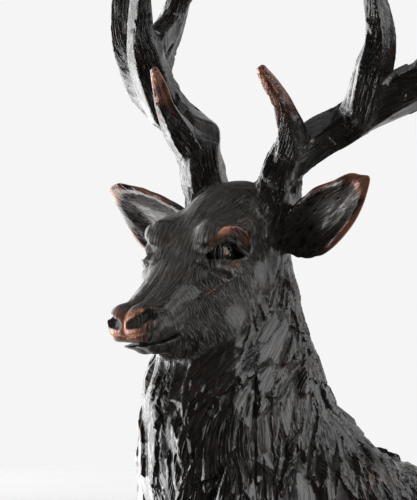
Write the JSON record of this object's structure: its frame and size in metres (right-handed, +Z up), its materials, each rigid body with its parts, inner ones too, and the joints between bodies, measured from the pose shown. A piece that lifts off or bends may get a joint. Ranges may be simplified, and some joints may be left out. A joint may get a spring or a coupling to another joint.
{
  "type": "cast iron stag bust",
  "caption": "Ornamental bust of a red deer stag with branched antlers and a carved mane, cast as one piece and cut flat below to stand on its own weight.",
  "frame": {"origin": "on the flat underside, below the middle of the bust", "axes": "+Z up, the stag faces -Y, and its own left side is at +X"},
  "size_m": [0.2314, 0.2243, 0.3121],
  "materials": {
    "patinated_iron": "near-black brown patina with a waxed gloss, rubbed back to copper on the nose, brows, ears and tine tips"
  },
  "bodies": {
    "root": {"stag_bust": "patinated_iron"}
  },
  "joints": []
}
